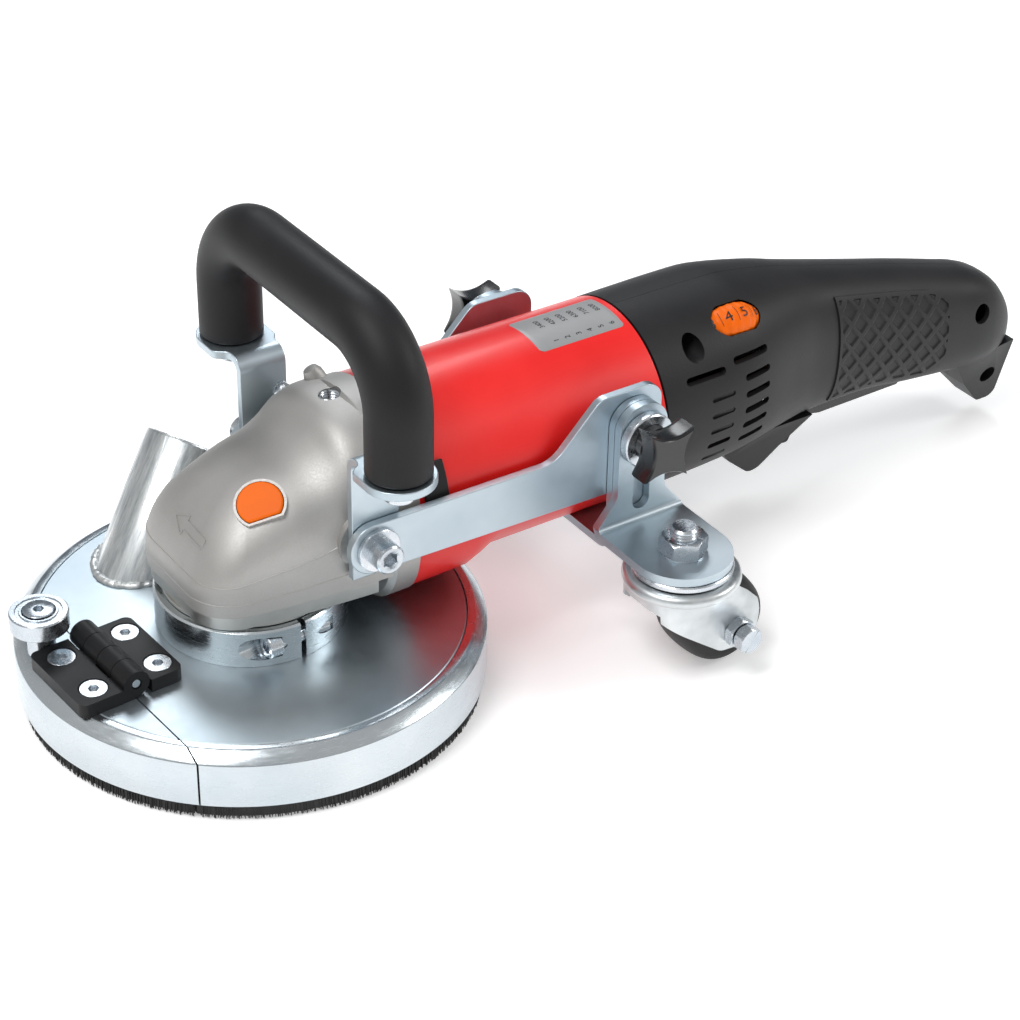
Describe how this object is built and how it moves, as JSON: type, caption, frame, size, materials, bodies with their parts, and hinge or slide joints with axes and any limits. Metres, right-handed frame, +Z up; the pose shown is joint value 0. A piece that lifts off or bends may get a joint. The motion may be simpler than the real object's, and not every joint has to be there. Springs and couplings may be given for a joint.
{
  "type": "concrete grinder",
  "caption": "Angle-grinder motor with a hinged, brush-rimmed dust shroud, a bow handle and a height-adjustable chassis on two swivel casters.",
  "frame": {"origin": "centre of the overall box at floor level", "axes": "+X from the grinding head to the tail, +Z up, -Y the side of the collar's split; the brush and both tyres stand on Z = 0"},
  "size_m": [0.5268, 0.244, 0.1967],
  "materials": {
    "zinc_plate": "bright blue-white zinc plate",
    "bright_steel": "plated hardware",
    "cast_aluminium": "bead-blasted casting",
    "red_plastic": "smooth, slightly glossy",
    "black_plastic": "fine grained",
    "grip_rubber": "matt foam-like grip",
    "tread": "smooth crowned tread",
    "bristle": "dense black strip brush",
    "orange_plastic": "smooth",
    "cup_steel": "steel cup with diamond segments",
    "copper": "turned copper bars",
    "stator_steel": "laminated stack"
  },
  "bodies": {
    "machine": {"gear_housing": "cast_aluminium", "bearing_flange": "cast_aluminium", "motor_housing": "red_plastic", "brush_access_cap": "black_plastic", "stator": "stator_steel", "tail_shell_left": "black_plastic", "tail_shell_right": "black_plastic", "switch_module": "black_plastic", "cable_inlet": "black_plastic", "bow_handle": "grip_rubber", "handle_bracket_left": "zinc_plate", "handle_bracket_right": "zinc_plate", "handle_bolt_left": "bright_steel", "handle_bolt_right": "bright_steel", "side_arm_left": "zinc_plate", "side_arm_right": "zinc_plate", "arm_bolt_left": "bright_steel", "arm_bolt_right": "bright_steel", "cross_brace": "zinc_plate"},
    "shroud": {"shroud_ring": "zinc_plate", "brush_main": "bristle", "shroud_disc": "zinc_plate", "dust_port": "zinc_plate", "shroud_collar": "zinc_plate", "collar_screw": "bright_steel", "hinge_leaf_fixed": "black_plastic", "hinge_pin": "bright_steel", "fixed_leaf_screw_1": "bright_steel", "fixed_leaf_screw_2": "bright_steel"},
    "flap": {"flap_ring": "zinc_plate", "flap_brush": "bristle", "flap_disc": "zinc_plate", "hinge_leaf_flap": "black_plastic", "flap_leaf_screw_1": "bright_steel", "flap_leaf_screw_2": "bright_steel", "guide_post": "bright_steel"},
    "roller": {"guide_roller": "bright_steel"},
    "spindle": {"spindle": "bright_steel", "output_gear": "bright_steel", "cup_wheel": "cup_steel", "clamp_nut": "bright_steel"},
    "armature": {"armature_shaft": "bright_steel", "armature_core": "stator_steel", "commutator": "copper", "motor_fan": "black_plastic", "pinion": "bright_steel"},
    "lock_button": {"spindle_lock_button": "orange_plastic"},
    "dial": {"speed_dial": "orange_plastic"},
    "trigger": {"trigger": "black_plastic"},
    "lock_lever": {"lock_off_lever": "black_plastic"},
    "bracket_left": {"caster_bracket_left": "zinc_plate", "caster_stud_left": "bright_steel"},
    "knob_left": {"star_knob_left": "black_plastic"},
    "fork_left": {"caster_fork_left": "zinc_plate"},
    "wheel_left": {"caster_wheel_left": "tread"},
    "bracket_right": {"caster_bracket_right": "zinc_plate", "caster_stud_right": "bright_steel"},
    "knob_right": {"star_knob_right": "black_plastic"},
    "fork_right": {"caster_fork_right": "zinc_plate"},
    "wheel_right": {"caster_wheel_right": "tread"}
  },
  "joints": [
    {"name": "shroud_turn", "type": "hinge", "parent": "machine", "child": "shroud", "pos_m": [-0.16257, 0, 0.04], "axis": [0, 0, 1], "range_deg": [0, 30]},
    {"name": "flap_hinge", "type": "hinge", "parent": "shroud", "child": "flap", "pos_m": [-0.23282, -0.00659, 0.0395], "axis": [-0.0523, 0.9986, 0], "range_deg": [0, 95]},
    {"name": "roller_spin", "type": "hinge", "parent": "flap", "child": "roller", "pos_m": [-0.25011, 0.02145, 0.0495], "axis": [0, 0, 1], "continuous": true},
    {"name": "spindle_spin", "type": "hinge", "parent": "machine", "child": "spindle", "pos_m": [-0.16257, 0, 0.04], "axis": [0, 0, 1], "continuous": true},
    {"name": "armature_spin", "type": "hinge", "parent": "machine", "child": "armature", "pos_m": [-0.06257, 0, 0.0815], "axis": [1, 0, 0], "continuous": true},
    {"name": "lock_button_press", "type": "slide", "parent": "machine", "child": "lock_button", "axis": [0.3609, 0.4211, -0.8321], "range_m": [0, 0.003], "stiffness_N_per_m": 800, "springref_m": -0.002},
    {"name": "dial_turn", "type": "hinge", "parent": "machine", "child": "dial", "pos_m": [0.07143, -0.01784, 0.10605], "axis": [0, -0.809, -0.5878], "range_deg": [-157.5, 67.5]},
    {"name": "trigger_press", "type": "hinge", "parent": "machine", "child": "trigger", "pos_m": [0.18943, 0, 0.044], "axis": [0, 1, 0], "range_deg": [0, 5], "stiffness_Nm_per_rad": 1, "springref_deg": -5.73},
    {"name": "lock_lever_press", "type": "hinge", "parent": "machine", "child": "lock_lever", "pos_m": [0.12943, 0, 0.0365], "axis": [0, 1, 0], "range_deg": [0, 20], "stiffness_Nm_per_rad": 0.05, "springref_deg": -11.46},
    {"name": "height_slide_left", "type": "slide", "parent": "machine", "child": "bracket_left", "axis": [0, 0, 1], "range_m": [-0.004, 0.012]},
    {"name": "knob_turn_left", "type": "hinge", "parent": "machine", "child": "knob_left", "pos_m": [-0.00207, -0.06, 0.0975], "axis": [0, 1, 0], "range_deg": [-180, 180]},
    {"name": "caster_swivel_left", "type": "hinge", "parent": "bracket_left", "child": "fork_left", "pos_m": [-0.00207, -0.091, 0.045], "axis": [0, 0, 1], "continuous": true},
    {"name": "wheel_spin_left", "type": "hinge", "parent": "fork_left", "child": "wheel_left", "pos_m": [0.01393, -0.091, 0.021], "axis": [0, 1, 0], "continuous": true},
    {"name": "height_slide_right", "type": "slide", "parent": "machine", "child": "bracket_right", "axis": [0, 0, 1], "range_m": [-0.004, 0.012]},
    {"name": "knob_turn_right", "type": "hinge", "parent": "machine", "child": "knob_right", "pos_m": [-0.00207, 0.06, 0.0975], "axis": [0, 1, 0], "range_deg": [-180, 180]},
    {"name": "caster_swivel_right", "type": "hinge", "parent": "bracket_right", "child": "fork_right", "pos_m": [-0.00207, 0.091, 0.045], "axis": [0, 0, 1], "continuous": true},
    {"name": "wheel_spin_right", "type": "hinge", "parent": "fork_right", "child": "wheel_right", "pos_m": [0.01393, 0.091, 0.021], "axis": [0, 1, 0], "continuous": true}
  ],
  "couplings": [
    {"joint": "armature_spin", "follows": "spindle_spin", "ratio": 3}
  ]
}
